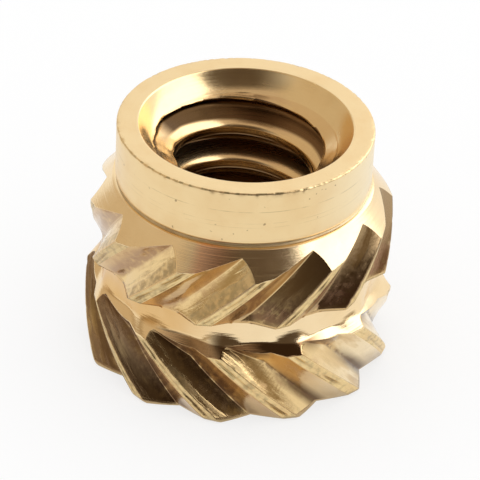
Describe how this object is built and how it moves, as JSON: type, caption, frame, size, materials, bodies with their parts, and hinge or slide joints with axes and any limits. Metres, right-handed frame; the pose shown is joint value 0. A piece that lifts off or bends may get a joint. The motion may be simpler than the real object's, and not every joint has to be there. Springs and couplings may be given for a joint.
{
  "type": "threaded insert",
  "caption": "Brass threaded insert for plastics: a plain collar with a countersunk mouth above two bands of slanting knurl teeth that lean opposite ways, with a through thread.",
  "frame": {"origin": "centre of the base plane, on the thread axis", "axes": "+Z along the thread axis, from the knurled base to the rim of the plain collar"},
  "size_m": [0.0048, 0.0048, 0.004],
  "materials": {
    "turned_brass": "bright turned brass, satin on the collar and polished in the tooth flanks"
  },
  "bodies": {
    "root": {"insert_body": "turned_brass"}
  },
  "joints": []
}
